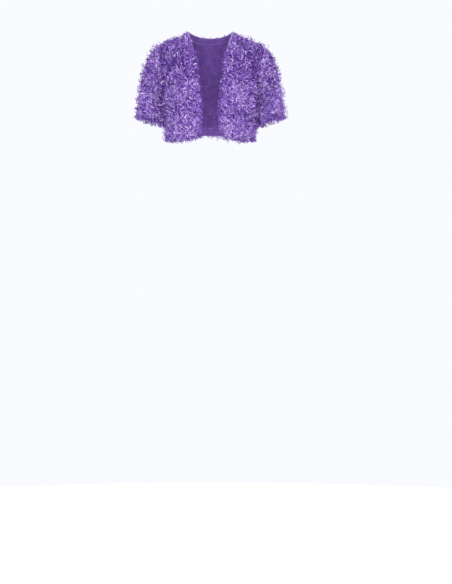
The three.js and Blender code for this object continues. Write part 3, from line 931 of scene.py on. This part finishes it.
def grown(spindle, curls, roots, ways, heights, spreads, tone, along_rim=None):
    """Points, faces and map of one filament at each root."""
    across, along = frames(ways, along_rim)
    form = np.array(curls)[chance.integers(0, len(curls), len(roots))] * MM
    scaled_height = form[:, :, 2] * (heights / (NOMINAL_HEIGHT * MM))[:, None]
    points = roots[:, None] + ways[:, None] * scaled_height[:, :, None]
    points += across[:, None] * (form[:, :, 0] * spreads[:, None])[:, :, None]
    points += along[:, None] * (form[:, :, 1] * spreads[:, None])[:, :, None]
    straight, faces = spindle
    u = np.broadcast_to(straight[:, 2] + 0.5, (len(roots), len(straight)))
    v = tone[:, None] + straight[None, :, 1] * SHADE_ACROSS
    uv = np.stack([u, np.clip(v, *SHADE_LIMITS)], axis=2)
    numbers = faces[None] + (np.arange(len(roots)) * len(straight))[:, None, None]
    return points.reshape(-1, 3), numbers.reshape(-1, 3), uv.reshape(-1, 2)


print("points of one filament:", [len(kind[0]) for kind in forms])

# %% [markdown]
# All filaments of a panel go into one mesh, since thousands of loose objects would be slow. The parts keep
# their own order, and the corner of each face takes its place on the map from the point it belongs to.

# %% One mesh of many filaments
def joined_mesh(name, parts):
    points = np.concatenate([part[0] for part in parts])
    steps = np.cumsum([0] + [len(part[0]) for part in parts[:-1]])
    faces = np.concatenate([part[1] + step for part, step in zip(parts, steps)])
    uv = np.concatenate([part[2] for part in parts])
    mesh = bpy.data.meshes.new(name)
    mesh.from_pydata(points, [], faces)
    layer = mesh.uv_layers.new(name=TINSEL_MAP)
    layer.data.foreach_set("uv", uv[faces.ravel()].ravel().astype(np.float32))
    return placed(name, mesh, tinsel)


print("map of the filaments:", TINSEL_MAP)

# %% [markdown]
# The reach found before is changed in a few places. Pile at a free edge and along the upper part of the
# armhole seam keeps a least height, so that no backing shows there. It is shorter under stitches and at an
# edge. It also hangs a little, and at a free edge it fans out over the edge, but not at the neck.

# %% Height and direction of the pile
EDGE_REACH = 5.0 * MM
NECK_REACH = 2.0 * MM
SEAM_REACH = 7.0 * MM
SEAM_WIDTH_FILLED = 8 * MM
HELD_DOWN = 0.45
LOWER_AT_EDGE = 0.35
FAN = ([-100 * MM, -50 * MM, -32 * MM], [1.1, 0.85, -0.15])
FAN_SHARPNESS = 1.2
DROOP = 0.12


def pile_reach(panel, roots, ways, near_edge):
    reach = meets_neighbour(panel, roots, ways, reaches(panel, roots, ways))
    least = np.where(roots[:, 2] > NECK_Z, NECK_REACH, EDGE_REACH)
    reach = np.maximum(reach, least * near_edge)
    at_seam = line_at(distance_from(roots, armholes[panel]), 0, SEAM_WIDTH_FILLED)
    reach = np.maximum(reach, SEAM_REACH * at_seam * np.interp(roots[:, 2], *HEAD_LIGHT))
    reach *= (1 - HELD_DOWN * caught(panel, roots)) * (1 - LOWER_AT_EDGE * near_edge)
    return reach


def pile_ways(roots, ways, near_edge, off, fan_share):
    fan = np.interp(roots[:, 2], *FAN) * fan_share
    return unit(ways + off * (near_edge**FAN_SHARPNESS * fan)[:, None] + [0, 0, -DROOP])


print(f"least reach at an edge {EDGE_REACH / MM:.0f} mm, along the armhole seam {SEAM_REACH / MM:.0f} mm")

# %% [markdown]
# Four layers grow on top of each other. A short, dense undercoat hides the backing. The curls above it give
# the pile its look. Strays and loose loops are few and stand out further, so that the outline is ragged.
# Each layer has its own shades, the undercoat's being the darkest. Near-white painted glints are rare, and
# more of them are painted where stitches press the filaments flat.

# %% Coat
PER_SQUARE_MM = {"undercoat": 0.235, "curls": 0.066, "strays": 0.018, "loops": 0.007}
SMALLEST = 0.45
LARGEST = 1.1
CURL_GLINTS = 0.012
CAUGHT_GLINTS = 0.05


def coat(panel, roots, ways, layer):
    near_edge, off = edge_shares(panel, roots)
    reach = pile_reach(panel, roots, ways, near_edge)
    fanned = pile_ways(roots, ways, near_edge, off, 0.5 if layer == "undercoat" else 1.0)
    own = chance.random(len(roots))
    scale = np.clip(reach / (NOMINAL_HEIGHT * MM), SMALLEST, LARGEST)
    shift = tone_shift_with_painted_light(panel, roots)
    if layer == "undercoat":
        heights = reach * (0.6 + 0.35 * own)
        tone = shades(roots, 0.0, 0.72, 0.0, shift)
        spreads = scale * chance.uniform(0.8, 1.1, len(roots))
        return grown(undercoat_spindle, undercoat_curls, roots, fanned, heights, spreads, tone)
    if layer == "curls":
        heights = reach * (0.68 + 0.42 * own)
        glints = CURL_GLINTS + CAUGHT_GLINTS * caught(panel, roots)
        tone = shades(roots, 0.02, 0.90, glints, shift)
        spreads = scale * chance.uniform(0.75, 1.1, len(roots))
        return grown(curl_spindle, top_curls, roots, fanned, heights, spreads, tone)
    spreads = scale * chance.uniform(0.8, 1.15, len(roots))
    if layer == "strays":
        heights = reach * (0.9 + 0.2 * own) + scale * 6 * own**3 * MM
        tone = shades(roots, 0.12, 0.88, 0.02, shift)
        return grown(curl_spindle, stray_curls, roots, fanned, heights, spreads, tone)
    heights = reach + scale * (4 + 7 * own) * MM
    tone = shades(roots, 0.10, 0.72, 0.02, shift)
    return grown(curl_spindle, loose_loops, roots, fanned, heights, spreads, tone)


for layer, density in PER_SQUARE_MM.items():
    print(f"{layer}: {100 * density:.1f} filaments to the square centimetre")

# %% [markdown]
# Loops and wisps hang over the hems, the cuffs and the front edges and fill what the cloth was drawn back
# for. Their roots lie at random along the edge, from the cloth out through seven millimetres of pile. They
# are longest at the hems and cuffs, and there are none around the neck. Their number follows from the rim,
# whose edges are about five and a half millimetres long.

# %% Fringe
LONGEST_AT_HEM = 17 * MM
LONGEST_AT_FRONT = 9 * MM
LOOPS_PER_RIM_MM = 0.36
WISPS_PER_RIM_MM = 0.24
EDGE_LENGTH = 5.5 * MM
FRINGE_DEPTH = 7 * MM
SET_BACK = 3 * MM


def fringe(panel, keep, curled):
    rim = free_rims[panel][free_rims[panel][:, 0, 2] < NECK_Z]
    rim = rim[keep(rim[:, 0])]
    count = int(len(rim) * EDGE_LENGTH / MM * (LOOPS_PER_RIM_MM if curled else WISPS_PER_RIM_MM))
    chosen = rim[chance.integers(0, len(rim), count)]
    middle, off, along, out = chosen.transpose(1, 0, 2)
    roots = middle + along * chance.uniform(-0.5, 0.5, (count, 1)) * EDGE_LENGTH
    roots += out * chance.uniform(0, FRINGE_DEPTH, (count, 1))
    roots -= off * chance.uniform(0, SET_BACK, (count, 1))
    ways = off + out * chance.uniform(-0.1, 0.5, (count, 1))
    ways += along * chance.normal(0, 0.25, (count, 1))
    ways = unit(ways)
    longest = np.where(off[:, 2] > DOWNWARDS, LONGEST_AT_FRONT, LONGEST_AT_HEM)
    heights = longest * chance.uniform(0.55, 1.0, count)
    tone = shades(roots, 0.06, 0.64, 0.02, 0.0)
    spreads = chance.uniform(0.6, 1.0, count)
    if curled:
        return grown(loop_spindle, hem_loops, roots, ways, heights, spreads, tone, along)
    return grown(curl_spindle, loose_loops, roots, ways, heights, spreads, tone)


print(f"fringe: {LOOPS_PER_RIM_MM} loops and {WISPS_PER_RIM_MM} wisps to the millimetre of edge")

# %% [markdown]
# Now the pile of each panel grows, layer by layer and then the fringe. The back is large, so its pile is
# made in two halves, which keeps each mesh at a handy size.

# %% Pile of each panel
def pile_of(name, panel, keep):
    parts = []
    for layer, density in PER_SQUARE_MM.items():
        roots, ways = scatter(cloths[panel], density)
        kept = keep(roots) & ~bare(panel, roots)
        parts.append(coat(panel, roots[kept], ways[kept], layer))
    parts += [fringe(panel, keep, curled) for curled in (True, False)]
    piece = joined_mesh(name, parts)
    print(f"{name}: {len(piece.data.polygons)} triangles")
    return piece


def everywhere(roots):
    return np.ones(len(roots), bool)


piles = {panel: [pile_of(f"pile_{panel}", panel, everywhere)] for panel in cloths if panel != "back"}
piles["back"] = [
    pile_of("pile_back_left", "back", lambda roots: roots[:, 0] >= 0),
    pile_of("pile_back_right", "back", lambda roots: roots[:, 0] < 0),
]

# %% [markdown]
# Each backing and its pile hang from the frame's root. The backing stands for its panel's solid, which is
# hidden.

# %% Pieces and the frame
for panel, piece in backings.items():
    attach(piece, "root")
    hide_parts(panel)
    for pile in piles[panel]:
        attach(pile, "root")
print("pieces:", len(backings) + sum(len(group) for group in piles.values()))

# %% [markdown]
# The studio is plain: a pale floor far below the garment, a pale world and four large soft lights. The big
# one in front gives the even, level light of the photograph, and those at the sides make the foil glint.
# The one behind lights the back.

# %% Floor, world and lights
FLOOR_Z = -1.565
FLOOR_RADIUS = 2.2

floor_shape = bmesh.new()
bmesh.ops.create_circle(floor_shape, cap_ends=True, segments=96, radius=FLOOR_RADIUS)
bmesh.ops.translate(floor_shape, verts=floor_shape.verts, vec=(0, 0, FLOOR_Z))
floor_finish = Finish("studio_floor")
floor_finish.shader.inputs["Base Color"].default_value = (0.85, 0.85, 0.86, 1)
floor_finish.shader.inputs["Roughness"].default_value = 0.9
floor = made_object("studio_floor", floor_shape, floor_finish.material)

world = bpy.data.worlds.new("studio")
bpy.context.scene.world = world
world.use_nodes = True
world.node_tree.nodes["Background"].inputs["Color"].default_value = (0.95, 0.96, 1.0, 1)
world.node_tree.nodes["Background"].inputs["Strength"].default_value = 1.0

LIGHTS = {
    "key": ((0.0, -3.6, -0.4), (1.6, 1.2), 80),
    "left": ((-2.6, -1.6, 0.2), (0.8, 1.6), 26),
    "right": ((2.6, -1.6, 0.2), (0.8, 1.6), 26),
    "behind": ((0.3, 3.0, 0.6), (1.6, 1.0), 55),
}
LIGHT_AIM = Vector((0, 0, -0.15))


def soft_light(name, place, size, watts):
    lamp = bpy.data.lights.new(name, "AREA")
    lamp.shape = "RECTANGLE"
    lamp.size, lamp.size_y = size
    lamp.energy = watts
    light = bpy.data.objects.new(name, lamp)
    light.location = place
    light.rotation_euler = (LIGHT_AIM - Vector(place)).to_track_quat("-Z", "Y").to_euler()
    bpy.context.scene.collection.objects.link(light)


for name, (place, size, watts) in LIGHTS.items():
    soft_light(name, place, size, watts)
bpy.context.scene.view_settings.view_transform = "Standard"
print("lights:", ", ".join(light.name for light in bpy.data.lights))
